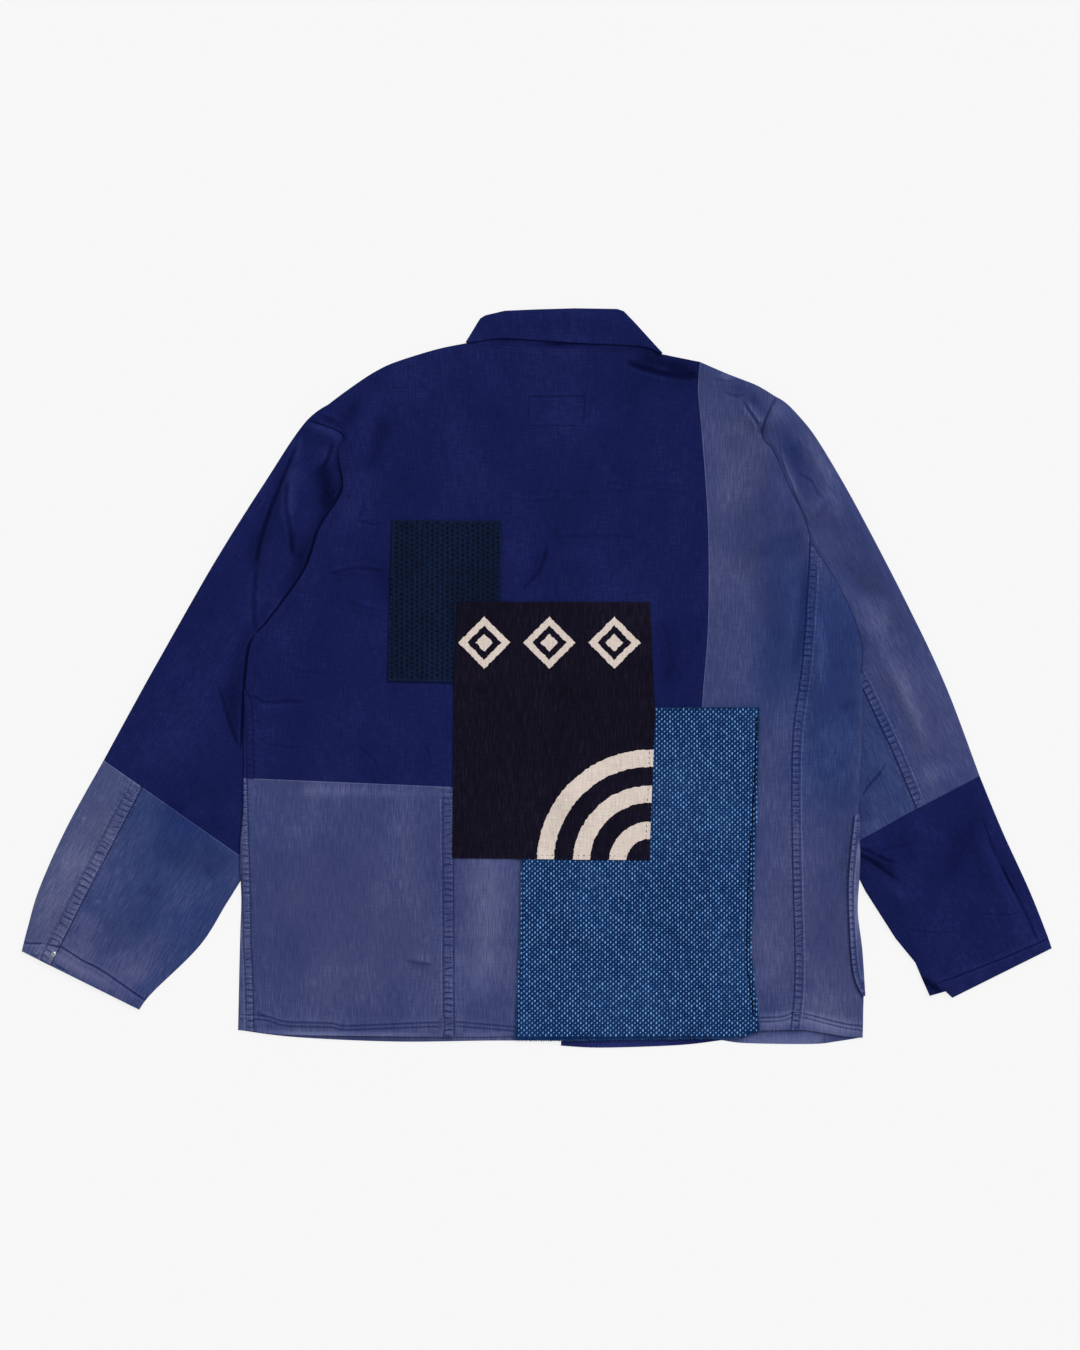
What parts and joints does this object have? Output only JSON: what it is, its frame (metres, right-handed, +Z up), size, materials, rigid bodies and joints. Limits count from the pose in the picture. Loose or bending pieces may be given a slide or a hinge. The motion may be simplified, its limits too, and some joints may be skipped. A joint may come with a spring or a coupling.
{
  "type": "patched boro work jacket",
  "caption": "Indigo work jacket with patched and stitched panels, laid flat on its front with the back up.",
  "frame": {"origin": "on the floor under the middle of the jacket's box", "axes": "+Z up from the floor, out of the jacket's back; +Y towards the collar; +X towards the wearer's right sleeve, along the jacket's width from cuff to cuff"},
  "size_m": [1.0269, 0.7409, 0.0103],
  "materials": {
    "navy_work_cotton": "matt indigo-dyed twill, softly worn at the seams",
    "faded_work_cotton": "matt twill faded to a grey blue, paler on every seam ridge",
    "dull_blue_work_cotton": "matt twill half faded from indigo",
    "dark_sashiko_cotton": "thick near-black cloth with rows of tone-on-tone running stitches",
    "blue_sashiko_cotton": "thick mid-blue cloth closely covered with rows of pale worn running stitches",
    "printed_plain_cotton": "plain-woven near-black cotton with cream dyed motifs",
    "brown_button": "dark brown, satin",
    "nickel_rivet": "bright nickel-plated stud cap"
  },
  "bodies": {
    "root": {"back_navy": "navy_work_cotton", "back_lower_left": "faded_work_cotton", "back_lower_mid": "faded_work_cotton", "back_right": "faded_work_cotton", "front_left_upper": "navy_work_cotton", "front_left_lower": "faded_work_cotton", "front_right_centre": "navy_work_cotton", "front_right_side": "faded_work_cotton", "collar": "navy_work_cotton", "collar_end_left": "navy_work_cotton", "collar_end_right": "navy_work_cotton", "pocket_right": "faded_work_cotton", "patch_dark_sashiko": "dark_sashiko_cotton", "patch_blue_sashiko": "blue_sashiko_cotton", "patch_noren": "printed_plain_cotton", "sleeve_left_upper": "navy_work_cotton", "sleeve_left_lower_outer": "faded_work_cotton", "sleeve_left_lower_inner": "dull_blue_work_cotton", "sleeve_right_upper_outer": "faded_work_cotton", "sleeve_right_upper_under": "dull_blue_work_cotton", "sleeve_right_lower": "navy_work_cotton", "cuff_rivet": "nickel_rivet", "button_1": "brown_button", "button_2": "brown_button", "button_3": "brown_button", "button_4": "brown_button", "button_5": "brown_button"}
  },
  "joints": []
}
